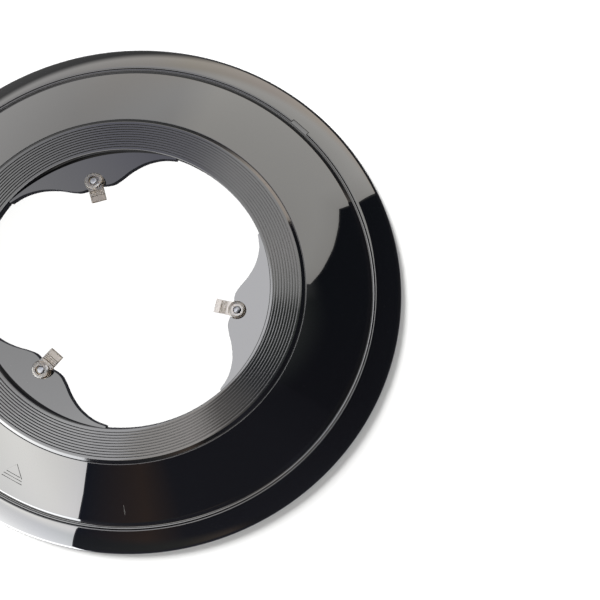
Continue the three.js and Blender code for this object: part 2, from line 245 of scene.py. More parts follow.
def rounded(corners, steps=ARC_STEPS):
    """Points round a section whose corners are (r, z, radius), each rounded by its radius."""
    points = []
    for i, (r, z, radius) in enumerate(corners):
        here = Vector((r, z))
        if not radius:
            points.append(here)
            continue
        before = (Vector(corners[i - 1][:2]) - here).normalized()
        after = (Vector(corners[(i + 1) % len(corners)][:2]) - here).normalized()
        half = before.angle(after) / 2
        centre = here + (before + after).normalized() * radius / math.sin(half)
        start = (here + before * radius / math.tan(half) - centre).normalized()
        end = (here + after * radius / math.tan(half) - centre).normalized()
        points += [centre + start.slerp(end, k / steps) * radius for k in range(steps + 1)]
    return points


def turned(name, section, steps=RING_STEPS, closed=True):
    """Spins a section of (r, z) points round the vertical axis."""
    piece = outline(name, [(r, 0, z) for r, z in section], closed)
    edit("EDIT")
    bpy.ops.mesh.select_all(action="SELECT")
    bpy.ops.mesh.spin(steps=steps, angle=math.tau, center=(0, 0, 0), axis=(0, 0, 1))
    weld()
    edit("OBJECT")
    return piece


def slab(name, points, drop):
    """Fills an outline and extrudes it straight down."""
    piece = outline(name, points)
    edit("EDIT")
    bpy.ops.mesh.select_all(action="SELECT")
    bpy.ops.mesh.edge_face_add()
    bpy.ops.mesh.extrude_region_move(TRANSFORM_OT_translate={"value": (0, 0, -drop * MM)})
    weld()
    edit("OBJECT")
    return piece


def pillar(name, radius, low, high, x=0.0, y=0.0, sides=SMALL_STEPS):
    """An upright post, for bosses and for cutting holes."""
    return slab(name, [(x + radius * math.cos(math.tau * k / sides),
                        y + radius * math.sin(math.tau * k / sides), high) for k in range(sides)], high - low)


def combine(piece, operation, tools):
    """Adds the tools to a piece or cuts them from it, and removes them."""
    for tool in tools:
        boolean = piece.modifiers.new("cut", "BOOLEAN")
        boolean.operation = operation
        boolean.solver = "EXACT"
        boolean.object = tool
        only(piece)
        bpy.ops.object.modifier_apply(modifier=boolean.name)
        bpy.data.objects.remove(tool)
    return piece


def soften(piece, width, angle_deg=35, segments=2):
    """Rounds every edge sharper than the angle, as a mould does."""
    bevel = piece.modifiers.new("edges", "BEVEL")
    bevel.width = width * MM
    bevel.segments = segments
    bevel.limit_method = "ANGLE"
    bevel.angle_limit = math.radians(angle_deg)
    only(piece)
    bpy.ops.object.modifier_apply(modifier=bevel.name)
    return piece


def place(piece, matrix):
    """Moves a finished mesh to its place, so that its object stays at the origin."""
    piece.data.transform(matrix)
    piece.data.update()
    return piece


def finish_piece(piece, finish, body, slot, *nodes, smooth_deg=32):
    """Shades a piece, gives it its material, ties it to its body, and hides the CAD nodes it stands in for.
    """
    if not piece.data.polygons:
        raise RuntimeError(f"{piece.name} has no faces")
    only(piece)
    bpy.ops.object.shade_smooth_by_angle(angle=math.radians(smooth_deg))
    # Large faces keep their own direction, so that they mirror without bending.
    steady = piece.modifiers.new("steady", "WEIGHTED_NORMAL")
    steady.weight = 100
    steady.keep_sharp = True
    bpy.ops.object.modifier_apply(modifier=steady.name)
    piece.data.materials.clear()
    piece.data.materials.append(finish)
    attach(piece, body)
    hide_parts(*nodes)
    return piece


def centre_of(node):
    low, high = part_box(node)
    return (low + high) / 2 / MM


# ---- materials -----------------------------------------------------------------------------------
def srgb(code):
    """Linear red, green, blue and alpha from an sRGB hex value."""
    parts = [int(code[i:i + 2], 16) / 255 for i in (1, 3, 5)]
    return [p / 12.92 if p <= 0.04045 else ((p + 0.055) / 1.055) ** 2.4 for p in parts] + [1.0]


def add_node(tree, kind, settings=None, inputs=None):
    """Adds a node, sets its properties, and sets or links its inputs."""
    node = tree.nodes.new(kind)
    for name, value in (settings or {}).items():
        setattr(node, name, value)
    for name, value in (inputs or {}).items():
        if isinstance(value, bpy.types.Node):
            value = value.outputs[0]
        if isinstance(value, bpy.types.NodeSocket):
            tree.links.new(value, node.inputs[name])
        else:
            node.inputs[name].default_value = value
    return node


def blank(name):
    """A material with an empty node tree and millimetre Object coordinates."""
    made = bpy.data.materials.new(name)
    made.use_nodes = True
    tree = made.node_tree
    tree.nodes.clear()
    spot = add_node(tree, "ShaderNodeTexCoord").outputs["Object"]
    spot = add_node(tree, "ShaderNodeMapping", None, {"Vector": spot, "Scale": (1 / MM, 1 / MM, 1 / MM)})
    return made, tree, spot


def close(tree, shader):
    """Gives a material its surface."""
    add_node(tree, "ShaderNodeOutputMaterial", None, {"Surface": shader})


def specks(tree, spot, spacing, radius, share):
    """A mask of round dust specks: one cell per spacing, of which only a share holds a speck."""
    cell = {"Vector": spot, "Scale": 1 / spacing, "Randomness": 1.0}
    near = add_node(tree, "ShaderNodeTexVoronoi", {"feature": "F1"}, cell)
    size = add_node(tree, "ShaderNodeMapRange", None, {
        "Value": near.outputs["Distance"], "From Min": radius / spacing, "From Max": 0.4 * radius / spacing})
    chosen = add_node(tree, "ShaderNodeSeparateColor", None, {"Color": near.outputs["Color"]})
    held = add_node(tree, "ShaderNodeMath", {"operation": "LESS_THAN"}, {0: chosen, 1: share})
    return add_node(tree, "ShaderNodeMath", {"operation": "MULTIPLY"}, {0: size, 1: held})


def scratch(tree, spot):
    """A mask of one straight scratch down the dish's slope."""
    angle = math.radians(SCRATCH_DEG)
    local = add_node(tree, "ShaderNodeMapping", {"vector_type": "TEXTURE"}, {
        "Vector": spot, "Location": polar(SCRATCH_R, angle), "Rotation": (0, 0, angle)})
    axes = add_node(tree, "ShaderNodeSeparateXYZ", None, {"Vector": local})
    near = []
    for axis, half in (("X", SCRATCH_LENGTH / 2), ("Y", SCRATCH_WIDTH / 2)):
        off = add_node(tree, "ShaderNodeMath", {"operation": "ABSOLUTE"}, {0: axes.outputs[axis]})
        near.append(add_node(tree, "ShaderNodeMath", {"operation": "LESS_THAN"}, {0: off, 1: half}))
    return add_node(tree, "ShaderNodeMath", {"operation": "MULTIPLY"}, {0: near[0], 1: near[1]})


def moulded_abs(name, colour, dust, rough_low, rough_high):
    """ABS injection-moulded in a polished tool: deep black, mirror-like, with faint flow ripple,
    wiping marks that show only in highlights, and settled dust."""
    made, tree, spot = blank(name)
    # Sink and flow make the face wander by a micrometre or two over 20 to 30 mm.
    flow = add_node(tree, "ShaderNodeTexNoise", None, {"Vector": spot, "Scale": 1 / 26, "Detail": 1.0})
    ripple = add_node(tree, "ShaderNodeBump", None, {"Height": flow, "Strength": 0.05, "Distance": 0.00035})
    # Cloth marks: hairs about 0.15 mm wide, drawn a little coarser than real ones so that they show.
    stretch = add_node(tree, "ShaderNodeMapping", None, {
        "Vector": spot, "Rotation": (0, 0, math.radians(28)), "Scale": (0.06, 2.4, 0.5)})
    hair = add_node(tree, "ShaderNodeTexNoise", None, {"Vector": stretch, "Scale": 1.0, "Detail": 3.0})
    hair_high = add_node(tree, "ShaderNodeMapRange", None, {
        "Value": hair, "From Min": 0.56, "From Max": 0.74})
    patch = add_node(tree, "ShaderNodeTexNoise", None, {"Vector": spot, "Scale": 1 / 18, "Detail": 2.0})
    worn = add_node(tree, "ShaderNodeMath", {"operation": "MULTIPLY"}, {0: hair_high, 1: patch})
    rough = add_node(tree, "ShaderNodeMapRange", None, {
        "Value": worn, "From Min": 0.05, "From Max": 0.7, "To Min": rough_low, "To Max": rough_high})
    coarse = specks(tree, spot, spacing=9.0, radius=0.19, share=0.3)
    fine = specks(tree, spot, spacing=2.6, radius=0.10, share=0.25)
    settled = add_node(tree, "ShaderNodeMath", {"operation": "MAXIMUM"}, {0: coarse, 1: fine})
    settled = add_node(tree, "ShaderNodeMath", {"operation": "MAXIMUM"}, {0: settled, 1: scratch(tree, spot)})
    # Dust lies only on faces that look up.
    facing = add_node(tree, "ShaderNodeSeparateXYZ", None, {
        "Vector": add_node(tree, "ShaderNodeNewGeometry").outputs["Normal"]})
    upward = add_node(tree, "ShaderNodeMapRange", None, {
        "Value": facing.outputs["Z"], "From Min": 0.3, "From Max": 0.8, "To Max": 0.5})
    mask = add_node(tree, "ShaderNodeMath", {"operation": "MULTIPLY"}, {0: settled, 1: upward})
    shade = add_node(tree, "ShaderNodeMix", {"data_type": "RGBA"}, {0: mask, 6: srgb(colour), 7: srgb(dust)})
    dulled = add_node(tree, "ShaderNodeMix", None, {0: mask, 2: rough, 3: 0.7})
    close(tree, add_node(tree, "ShaderNodeBsdfPrincipled", None, {
        "Base Color": shade.outputs[2], "Roughness": dulled, "Normal": ripple, "IOR": 1.53}))
    return made


def clear_polycarbonate(tint):
    """Polycarbonate moulded clear: warm and slightly smoky, glassy, with soft flow lines inside."""
    made, tree, spot = blank("clear_moulded_polycarbonate")
    # Weld lines and flow run across a clip about every 1.5 mm.
    flow = add_node(tree, "ShaderNodeTexNoise", None, {"Vector": spot, "Scale": 0.7, "Detail": 2.0})
    bump = add_node(tree, "ShaderNodeBump", None, {"Height": flow, "Strength": 0.25, "Distance": 0.0002})
    rough = add_node(tree, "ShaderNodeMapRange", None, {"Value": flow, "To Min": 0.04, "To Max": 0.2})
    deep = [c * 0.8 for c in srgb(tint)[:3]] + [1.0]
    shade = add_node(tree, "ShaderNodeMix", {"data_type": "RGBA"}, {0: flow, 6: srgb(tint), 7: deep})
    close(tree, add_node(tree, "ShaderNodeBsdfPrincipled", None, {
        "Base Color": shade.outputs[2], "Roughness": rough, "Normal": bump, "IOR": 1.585,
        "Transmission Weight": 0.88}))
    return made


def moulded_nylon(colour):
    """Natural nylon 6: milky off-white, waxy, with a fine eroded-tool grain of about 0.2 mm."""
    made, tree, spot = blank("natural_moulded_nylon")
    grain = add_node(tree, "ShaderNodeTexNoise", None, {"Vector": spot, "Scale": 5.0, "Detail": 3.0})
    bump = add_node(tree, "ShaderNodeBump", None, {"Height": grain, "Strength": 0.3, "Distance": 0.00005})
    deep = [c * 0.9 for c in srgb(colour)[:3]] + [1.0]
    shade = add_node(tree, "ShaderNodeMix", {"data_type": "RGBA"}, {0: grain, 6: srgb(colour), 7: deep})
    rough = add_node(tree, "ShaderNodeMapRange", None, {"Value": grain, "To Min": 0.38, "To Max": 0.55})
    close(tree, add_node(tree, "ShaderNodeBsdfPrincipled", None, {
        "Base Color": shade.outputs[2], "Roughness": rough, "Normal": bump, "IOR": 1.53,
        "Subsurface Weight": 0.15}))
    return made


def plated_steel(colour):
    """Cold-headed steel, zinc plated and gone dull grey, with fine header marks and cloudiness."""
    made, tree, spot = blank("zinc_plated_headed_steel")
    cloud = add_node(tree, "ShaderNodeTexNoise", None, {"Vector": spot, "Scale": 1.2, "Detail": 4.0})
    marks = add_node(tree, "ShaderNodeTexNoise", None, {"Vector": spot, "Scale": 9.0, "Detail": 2.0})
    bump = add_node(tree, "ShaderNodeBump", None, {"Height": marks, "Strength": 0.2, "Distance": 0.00004})
    deep = [c * 0.82 for c in srgb(colour)[:3]] + [1.0]
    shade = add_node(tree, "ShaderNodeMix", {"data_type": "RGBA"}, {0: cloud, 6: srgb(colour), 7: deep})
    rough = add_node(tree, "ShaderNodeMapRange", None, {"Value": cloud, "To Min": 0.18, "To Max": 0.42})
    close(tree, add_node(tree, "ShaderNodeBsdfPrincipled", None, {
        "Base Color": shade.outputs[2], "Roughness": rough, "Normal": bump, "Metallic": 1.0}))
    return made


def cut_foam(colour):
    """Closed-cell EVA foam cut from sheet: matt charcoal, with open cells of about 0.5 mm."""
    made, tree, spot = blank("cut_closed_cell_foam")
    cells = add_node(tree, "ShaderNodeTexVoronoi", {"feature": "F1"}, {"Vector": spot, "Scale": 2.0})
    bump = add_node(tree, "ShaderNodeBump", None, {
        "Height": cells.outputs["Distance"], "Strength": 0.8, "Distance": 0.00025})
    light = [c * 1.8 for c in srgb(colour)[:3]] + [1.0]
    shade = add_node(tree, "ShaderNodeMix", {"data_type": "RGBA"}, {
        0: cells.outputs["Distance"], 6: srgb(colour), 7: light})
    rough = add_node(tree, "ShaderNodeMapRange", None, {
        "Value": cells.outputs["Distance"], "To Min": 0.85, "To Max": 1.0})
    close(tree, add_node(tree, "ShaderNodeBsdfPrincipled", None, {
        "Base Color": shade.outputs[2], "Roughness": rough, "Normal": bump}))
    return made


def finish_named(name):
    """The finish of that name, made the first time it is asked for."""
    look = bpy.context.scene.collar_finish
    makers = {
        "gloss_moulded_abs": lambda n: moulded_abs(n, look.abs_colour, look.dust_colour, 0.01, 0.05),
        "ribbed_moulded_abs": lambda n: moulded_abs(n, look.abs_colour, look.dust_colour, 0.10, 0.26),
        "clear_moulded_polycarbonate": lambda n: clear_polycarbonate(look.clip_colour),
        "natural_moulded_nylon": lambda n: moulded_nylon(look.washer_colour),
        "zinc_plated_headed_steel": lambda n: plated_steel(look.steel_colour),
        "cut_closed_cell_foam": lambda n: cut_foam(look.foam_colour),
    }
    return bpy.data.materials.get(name) or makers[name](name)


# ---- what a user may change --------------------------------------------------------------------------
class CollarSizes(bpy.types.PropertyGroup):
    groove_count: bpy.props.IntProperty(
        name="Grooves", description="Fine grooves across the band", default=10, min=4, max=24)
    groove_depth: bpy.props.FloatProperty(
        name="Groove depth", description="From the ridges down to the groove bottoms",
        default=0.5 * MM, min=0.05 * MM, max=0.8 * MM, precision=5, unit="LENGTH", subtype="DISTANCE")
    edge_round: bpy.props.FloatProperty(
        name="Edge rounding", description="Rounding of the bezel's outer edge",
        default=6.0 * MM, min=0.2 * MM, max=6.4 * MM, precision=5, unit="LENGTH", subtype="DISTANCE")
    lobe_round: bpy.props.FloatProperty(
        name="Lobe edge rounding", description="Rounding of the lobes' upper edges",
        default=0.45 * MM, min=0.1 * MM, max=0.9 * MM, precision=5, unit="LENGTH", subtype="DISTANCE")


class CollarFinish(bpy.types.PropertyGroup):
    abs_colour: bpy.props.StringProperty(
        name="ABS", description="Black of the mouldings, as sRGB hex", default="#0b0c0f")
    dust_colour: bpy.props.StringProperty(
        name="Dust", description="Settled dust, as sRGB hex", default="#a9a7a2")
    clip_colour: bpy.props.StringProperty(
        name="Clips", description="Tint of the clear clips, as sRGB hex", default="#857a6d")
    washer_colour: bpy.props.StringProperty(
        name="Washers", description="Natural nylon, as sRGB hex", default="#ece8dc")
    steel_colour: bpy.props.StringProperty(
        name="Steel", description="Zinc plating, as sRGB hex", default="#5f6063")
    foam_colour: bpy.props.StringProperty(
        name="Foam", description="Foam gasket, as sRGB hex", default="#1b1b1c")


class CollarStudio(bpy.types.PropertyGroup):
    floor_colour: bpy.props.StringProperty(
        name="Floor", description="Pale paper floor, as sRGB hex", default="#e7e7e6")
    room_light: bpy.props.FloatProperty(
        name="Room light", description="Brightness of the even light from all round",
        default=0.45, min=0.0, max=4.0)
    key_light: bpy.props.FloatProperty(
        name="Key light", description="Strength of the low soft light that makes the shadow",
        default=6.6, min=0.0, max=20.0)


# ---- the mouldings ------------------------------------------------------------------------------------
def key_block(clearance):
    """The locating key that joins dish and bezel, or with clearance the slot it sits in."""
    half = KEY_WIDTH / 2 + clearance
    x0, x1 = SEAM_R - 0.8, SEAM_R + KEY_REACH + clearance
    above = SEAM_Z + 20
    z0, z1 = (above, above) if clearance else (SEAM_Z - 0.05, bezel_z(x1) + 0.1)
    corners = [(x0, -half, z0), (x1, -half, z1), (x1, half, z1), (x0, half, z0)]
    block = slab("key", corners, z0 - SEAM_Z + KEY_DEPTH + clearance)
    return place(soften(block, 0.2), Matrix.Rotation(math.radians(KEY_DEG), 4, "Z"))


class COLLAR_OT_add_bezel(bpy.types.Operator):
    """Adds the crowned outer bezel with its ledge and the slot for the key"""
    bl_idname = "collar.add_bezel"
    bl_label = "Outer Bezel"

    def execute(self, context):
        edge = context.scene.collar_sizes.edge_round / MM
        inner = OUTER_R - SKIN
        skirt = BEZEL_IN_R + SKIN
        crown = [(OUTER_R - BEZEL_WIDTH * t, LIP_HEIGHT + BEZEL_RISE * t + BEZEL_CROWN * t * (1 - t), 0)
                 for t in (0.16, 0.26, 0.38, 0.5, 0.62, 0.74, 0.86)]
        section = rounded([
            (inner, BASE_Z, 0.3), (OUTER_R, BASE_Z, 0.6), (OUTER_R, LIP_HEIGHT, edge), *crown,
            (BEZEL_IN_R, SEAM_Z, 0.55), (BEZEL_IN_R, LEDGE_Z, 0.3), (SEAM_R - LEDGE_WIDTH, LEDGE_Z, 0.3),
            (SEAM_R - LEDGE_WIDTH, LEDGE_Z - SKIN, 0.3), (BEZEL_IN_R, LEDGE_Z - SKIN, 0.8),
            (BEZEL_IN_R, GAP, 0.3), (skirt, GAP, 0.3), (skirt, bezel_z(skirt) - BEZEL_FALL, 0.8),
            (inner, bezel_z(inner) - BEZEL_FALL, 0.6)])
        piece = turned("outer_bezel_fine", section)
        holes = [pillar("hole", SCREW_R + GAP, 0, LEDGE_Z + 1, *centre_of(n)[:2]) for n in RIM_SCREWS]
        combine(piece, "DIFFERENCE", [key_block(GAP), *holes])
        finish_piece(piece, finish_named("gloss_moulded_abs"), "collar", "black_abs", "outer_bezel")
        return {"FINISHED"}


def mark():
    """A plain raised triangle outline with two plain bars below it, as a generic moulded mark."""
    made = []
    loops = [[(0, 5.0), (4.9, -3.3), (-4.9, -3.3)], [(0, 3.9), (4.0, -2.75), (-4.0, -2.75)]]
    outer, inner = [slab("mark", [(x, y, 0.14 + k) for x, y in loop], 1.2 + 2 * k)
                    for k, loop in enumerate(loops)]
    made.append(combine(outer, "DIFFERENCE", [inner]))
    for y, half in ((-5.4, 5.2), (-7.6, 5.8)):
        corners = [(-half, y), (half, y), (half, y + 0.5), (-half, y + 0.5)]
        made.append(slab("bar", [(*corner, 0.12) for corner in corners], 1.2))
    lie = Matrix.Rotation(math.atan(DISH_SLOPE), 4, "X")
    seat = Matrix.Translation(Vector((0, MARK_R, dish_z(MARK_R))) * MM)
    turn = Matrix.Rotation(math.radians(MARK_DEG - 90), 4, "Z")
    for part in made:
        place(part, turn @ seat @ lie.inverted() @ Matrix.Rotation(math.radians(180), 4, "Z"))
    return made


class COLLAR_OT_add_dish(bpy.types.Operator):
    """Adds the sloping dish with its edge bead, key, screw bosses and recessed flange"""
    bl_idname = "collar.add_dish"
    bl_label = "Dish"

    def execute(self, context):
        foot = LEDGE_Z + GAP
        under_band = {r: band_z(r) - BAND_SKIN - GAP for r in (RECESS_R, FLANGE_IN_R, BAND_R)}
        section = rounded([
            (SEAM_R - SKIN, foot, 0.3), (SEAM_R, foot, 0.3),
            *((SEAM_R - inset, SEAM_Z + height, radius) for inset, height, radius in SEAM_STEPS),
            (SEAM_R - BEAD_TOP, dish_z(SEAM_R - BEAD_TOP), BEAD_ROUND), (RECESS_R, DISH_Z, 0.25),
            (RECESS_R, under_band[RECESS_R], 0), (FLANGE_IN_R, under_band[FLANGE_IN_R], 0.3),
            (FLANGE_IN_R, under_band[FLANGE_IN_R] - SKIN, 0.3), (BAND_R, under_band[BAND_R] - SKIN, 1.0),
            (RECESS_R + SKIN, dish_z(RECESS_R + SKIN) - DISH_FALL, 0),
            (SEAM_R - SKIN, dish_z(SEAM_R - SKIN) - DISH_FALL, 1.0)])
        piece = turned("dish_shell_fine", section)
        spots = [centre_of(n)[:2] for n in RIM_SCREWS]
        rim_r = math.hypot(*spots[0])
        inside_wall = SEAM_Z + 0.1
        bosses = [pillar("boss", RIM_BOSS_R, foot, inside_wall, x, y) for x, y in spots]
        top = dish_z(rim_r + BOSS_R) - DISH_FALL
        holes = [pillar("hole", SCREW_R + GAP, foot - 1, top, x, y) for x, y in spots]
        holes += [pillar("hole", BOSS_R + GAP, CARRIER_Z - 1, OPENING_Z - 2.0, *centre_of(n)[:2])
                  for n in CARRIER_SCREWS]
        combine(piece, "UNION", [key_block(0), *bosses, *mark()])
        combine(piece, "DIFFERENCE", holes)
        finish_piece(piece, finish_named("gloss_moulded_abs"), "collar", "black_abs", "dish_shell")
        return {"FINISHED"}


def lobe_angles():
    return [math.atan2(joint["pos_m"][1], joint["pos_m"][0]) for joint in CLIP_JOINTS]


def arc_points(r, half, z, turn=0.0, steps=36):
    return [polar(r, turn - half + 2 * half * k / steps, z) for k in range(steps + 1)]


class COLLAR_OT_add_band(bpy.types.Operator):
    """Adds the grooved band with its turned-down lip, slots for the lobes and screw bosses"""
    bl_idname = "collar.add_band"
    bl_label = "Grooved Band"

    def execute(self, context):
        sizes = context.scene.collar_sizes
        depth = sizes.groove_depth / MM
        start, end = BAND_R - RIDGES_FROM, OPENING_R + RIDGES_TO
        pitch = (start - end) / sizes.groove_count
        # Each groove is a steep-sided slot between ridges with flat tops.
        grooves = [(r, band_z(r) - drop * depth, 0) for i in range(sizes.groove_count)
                   for r, drop in ((start - (i + f) * pitch, d) for f, d in GROOVE_WAVE)]
        shoulder = BAND_R - SHOULDER_WIDTH
        lip = OPENING_R + LIP_SKIN
        section = rounded([
            (BAND_R, band_z(BAND_R) - BAND_SKIN, 0.2), (BAND_R, DISH_Z + 0.05, 0.15),
            (shoulder, band_z(shoulder), 0.8), *grooves, (end, band_z(end), 0),
            (OPENING_R, OPENING_Z - BAND_TRIM, 0.45),
            (OPENING_R, OPENING_Z - LIP_DROP, 0.3), (lip, OPENING_Z - LIP_DROP, 0.3),
            (lip, band_z(lip) - BAND_SKIN, 0.5)])
        piece = turned("grooved_band_fine", section)
        spots = [centre_of(n)[:2] for n in CARRIER_SCREWS]
        screw_r = math.hypot(*spots[0])
        foot = CARRIER_Z + GAP
        bosses = [pillar("boss", BOSS_R, foot, band_z(screw_r) - BAND_SKIN / 2, x, y) for x, y in spots]
        top = band_z(screw_r + BOSS_R) - BAND_SKIN
        cuts = [pillar("hole", SCREW_R + GAP, foot - 1, top, x, y) for x, y in spots]
        half = (LOBE_EDGE[-1][0] + GAP) / OPENING_R
        for angle in lobe_angles():
            roof = band_z(lip) - BAND_SKIN
            cuts.append(slab("slot", [Vector((0, 0, roof)), *arc_points(lip + GAP, half, roof, angle)], roof))
        combine(piece, "UNION", bosses)
        combine(piece, "DIFFERENCE", cuts)
        finish_piece(piece, finish_named("ribbed_moulded_abs"), "collar", "black_abs", "grooved_band")
        return {"FINISHED"}


def lobe_edge_points(steps=8):
    """Plan points along a lobe's free edge, a smooth line through the lobe's edge sizes."""
    marks = [(-s, reach) for s, reach in reversed(LOBE_EDGE[1:])] + LOBE_EDGE
    knots = [polar(OPENING_R - reach, s / OPENING_R) for s, reach in marks]
    points = []
    for i in range(len(knots) - 1):
        a, b, c, d = (knots[max(0, min(len(knots) - 1, i + k))] for k in (-1, 0, 1, 2))
        for t in (k / steps for k in range(steps)):
            points.append(0.5 * (2 * b + (c - a) * t + (2 * a - 5 * b + 4 * c - d) * t ** 2
                                 + (3 * b - a - 3 * c + d) * t ** 3))
    return points + knots[-1:]


def lobe_plate(angle, rounding):
    """One lobe: a flat plate that rises towards the centre, its upper edge rounded."""
    free = lobe_edge_points()
    half = LOBE_EDGE[-1][0] / OPENING_R
    root = list(reversed(arc_points(OPENING_R + LIP_SKIN - GAP, half, 0)))
    tilt = math.acos(CLIP_JOINTS[0]["axis"][2])
    points = [Vector((p.x, p.y, lobe_z(p.x))) for p in [*free, *root]]
    plate = slab("lobe", points, LOBE_SKIN / math.cos(tilt))
    edit("EDIT")
    bpy.ops.mesh.select_mode(type="EDGE")
    bpy.ops.mesh.select_all(action="DESELECT")
    edit("OBJECT")
    mesh = plate.data
    for e in mesh.edges:
        ends = [mesh.vertices[v].co / MM for v in e.vertices]
        flat = all(math.hypot(p.x, p.y) < OPENING_R - 1.6 for p in ends)
        level = abs((ends[0].z - lobe_z(ends[0].x)) - (ends[1].z - lobe_z(ends[1].x))) < 0.01
        e.select = flat and level
    edit("EDIT")
    bpy.ops.mesh.bevel(offset=rounding * MM, segments=3, clamp_overlap=True)
    weld()
    edit("OBJECT")
    return place(plate, Matrix.Rotation(angle, 4, "Z"))


def sector(name, r0, r1, low, high, angle):
    """A piece of ring between two radii and two heights, as long as a lobe's root wall."""
    half = SKIRT_ARC / OPENING_R
    points = arc_points(r1, half, high, angle) + list(reversed(arc_points(r0, half, high, angle)))
    return slab(name, points, high - low)


class COLLAR_OT_add_carrier(bpy.types.Operator):
    """Adds the carrier ring under the band with its three flat lobes"""
    bl_idname = "collar.add_carrier"
    bl_label = "Lobe Carrier"

    def execute(self, context):
        rounding = context.scene.collar_sizes.lobe_round / MM
        base = CARRIER_Z - CARRIER_SKIN
        section = rounded([(CARRIER_IN_R, base, 0.3), (CARRIER_R, base, 0.3),
                           (CARRIER_R, CARRIER_Z, 0.3), (CARRIER_IN_R, CARRIER_Z, 0.3)])
        piece = turned("lobe_carrier_fine", section)
        skirt = OPENING_R + LIP_SKIN
        bores = []
        for joint, angle in zip(CLIP_JOINTS, lobe_angles()):
            wall_top = lobe_z(skirt) - 0.05
            parts = [sector("wall", OPENING_R - SKIRT_SKIN, skirt, base, wall_top, angle),
                     sector("foot", OPENING_R - SKIRT_SKIN, CARRIER_IN_R + 1, base, CARRIER_Z, angle),
                     lobe_plate(angle, rounding)]
            combine(piece, "UNION", parts)
            bores.append(place(pillar("bore", RIVET_R + GAP, -20, 20), seat_matrix(joint)))
        holes = [pillar("hole", SCREW_R + GAP, base - 1, CARRIER_Z + 1, *centre_of(n)[:2])
                 for n in CARRIER_SCREWS]
        combine(piece, "DIFFERENCE", bores + holes)
        finish_piece(piece, finish_named("gloss_moulded_abs"), "collar", "black_abs", "lobe_carrier")
        return {"FINISHED"}


class COLLAR_OT_add_gasket(bpy.types.Operator):
    """Adds the foam gasket in the channel under the bezel"""
    bl_idname = "collar.add_gasket"
    bl_label = "Foam Gasket"

    def execute(self, context):
        low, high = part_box("base_gasket")
        r1, z0, z1 = high.x / MM, low.z / MM, high.z / MM
        r0 = BEZEL_IN_R + SKIN + GAP
        section = rounded([(r0, z0, 0.7), (r1, z0, 0.7), (r1, z1, 0.4), (r0, z1, 0.4)])
        piece = turned("base_gasket_fine", section)
        finish_piece(piece, finish_named("cut_closed_cell_foam"), "collar", "foam_gasket", "base_gasket")
        return {"FINISHED"}


# ---- clips and fasteners ---------------------------------------------------------------------------------
def seat_matrix(joint):
    """Where a clip sits: its swivel at the local origin, its tongue along -X, the lobe's face at z = 0."""
    x, y, _ = joint["pos_m"]
    tilt = math.acos(joint["axis"][2])
    return (Matrix.Translation(joint["pos_m"]) @ Matrix.Rotation(math.atan2(y, x), 4, "Z")
            @ Matrix.Rotation(tilt, 4, "Y"))


def clip_mesh(name):
    """A clip: a domed round head on the rivet, a stepped neck, grip ribs and a hollow tongue."""
    top = CLIP_Z + HEAD_H
    head = turned(name, rounded([
        (0, CLIP_Z, 0), (HEAD_R, CLIP_Z, 0.3), (HEAD_R, CLIP_Z + 1.35, 0.5), (HEAD_R - 0.55, top - 0.35, 0.7),
        (HEAD_R - 1.6, top, 0.9), (0, top, 0)]), 64, closed=False)
    half = TONGUE_W / 2
    level = CLIP_Z + TONGUE_H
    root = level - RIB_ROOT
    profile = [(-HEAD_R / 2, CLIP_Z), (-HEAD_R / 2, CLIP_Z + STEP_H), (-STEP_REACH, CLIP_Z + STEP_H),
               (-STEP_REACH, root)]
    for k in range(RIBS):
        x = -STEP_REACH - RIB_PITCH * (k + 0.5)
        end = x - RIB_PITCH / 2
        profile += [(x, root), (x, level + RIB_TOP), (end, level + RIB_TOP), (end, root)]
    block = -STEP_REACH - RIB_PITCH * RIBS - 0.3
    profile += [(block, root), (block, level), (-TONGUE_REACH, level), (-TONGUE_REACH, CLIP_Z)]
    tongue = outline("tongue", [(x, half, z) for x, z in profile])
    edit("EDIT")
    bpy.ops.mesh.select_all(action="SELECT")
    bpy.ops.mesh.edge_face_add()
    bpy.ops.mesh.extrude_region_move(TRANSFORM_OT_translate={"value": (0, -2 * half * MM, 0)})
    weld()
    edit("OBJECT")
    soften(tongue, 0.14)
    corners = [(-POCKET_TO, -POCKET_HALF), (-POCKET_FROM, -POCKET_HALF),
               (-POCKET_FROM, POCKET_HALF), (-POCKET_TO, POCKET_HALF)]
    pocket = slab("pocket", [(*corner, POCKET_Z) for corner in corners], 2)
    combine(head, "UNION", [tongue])
    combine(head, "DIFFERENCE", [
        pillar("recess", WASHER_R + GAP, CLIP_Z - 1, CLIP_Z + WASHER_H + GAP),
        pillar("bore", RIVET_R + GAP, CLIP_Z - 1, top + 1),
        pillar("seat", RIVET_HEAD_R + GAP, top - RIVET_HEAD_H - GAP, top + 1), pocket])
    return head


def rivet_section():
    """Half a rivet: a flat tail under the lobe, the shank and a domed head."""
    top = CLIP_Z + HEAD_H
    tail = -LOBE_SKIN - GAP
    under_head = top - RIVET_HEAD_H
    tail_end = tail - RIVET_HEAD_H
    dome = [(RIVET_HEAD_R * math.cos(a), top - RIVET_DOME + RIVET_DOME * math.sin(a), 0)
            for a in (math.radians(degrees) for degrees in range(0, 91, 10))]
    return rounded([
        (0, tail_end, 0), (RIVET_HEAD_R, tail_end, 0.35), (RIVET_HEAD_R, tail, 0.1), (RIVET_R, tail, 0),
        (RIVET_R, under_head, 0), (RIVET_HEAD_R, under_head, 0.1), *dome])


class COLLAR_OT_add_clips(bpy.types.Operator):
    """Adds the three clear clips, each on its own swivel"""
    bl_idname = "collar.add_clips"
    bl_label = "Retaining Clips"

    def execute(self, context):
        for joint in CLIP_JOINTS:
            body = joint["child"]
            node = "retaining_" + body
            piece = place(clip_mesh(node + "_fine"), seat_matrix(joint))
            finish_piece(piece, finish_named("clear_moulded_polycarbonate"), body, "clear_clip", node)
        return {"FINISHED"}


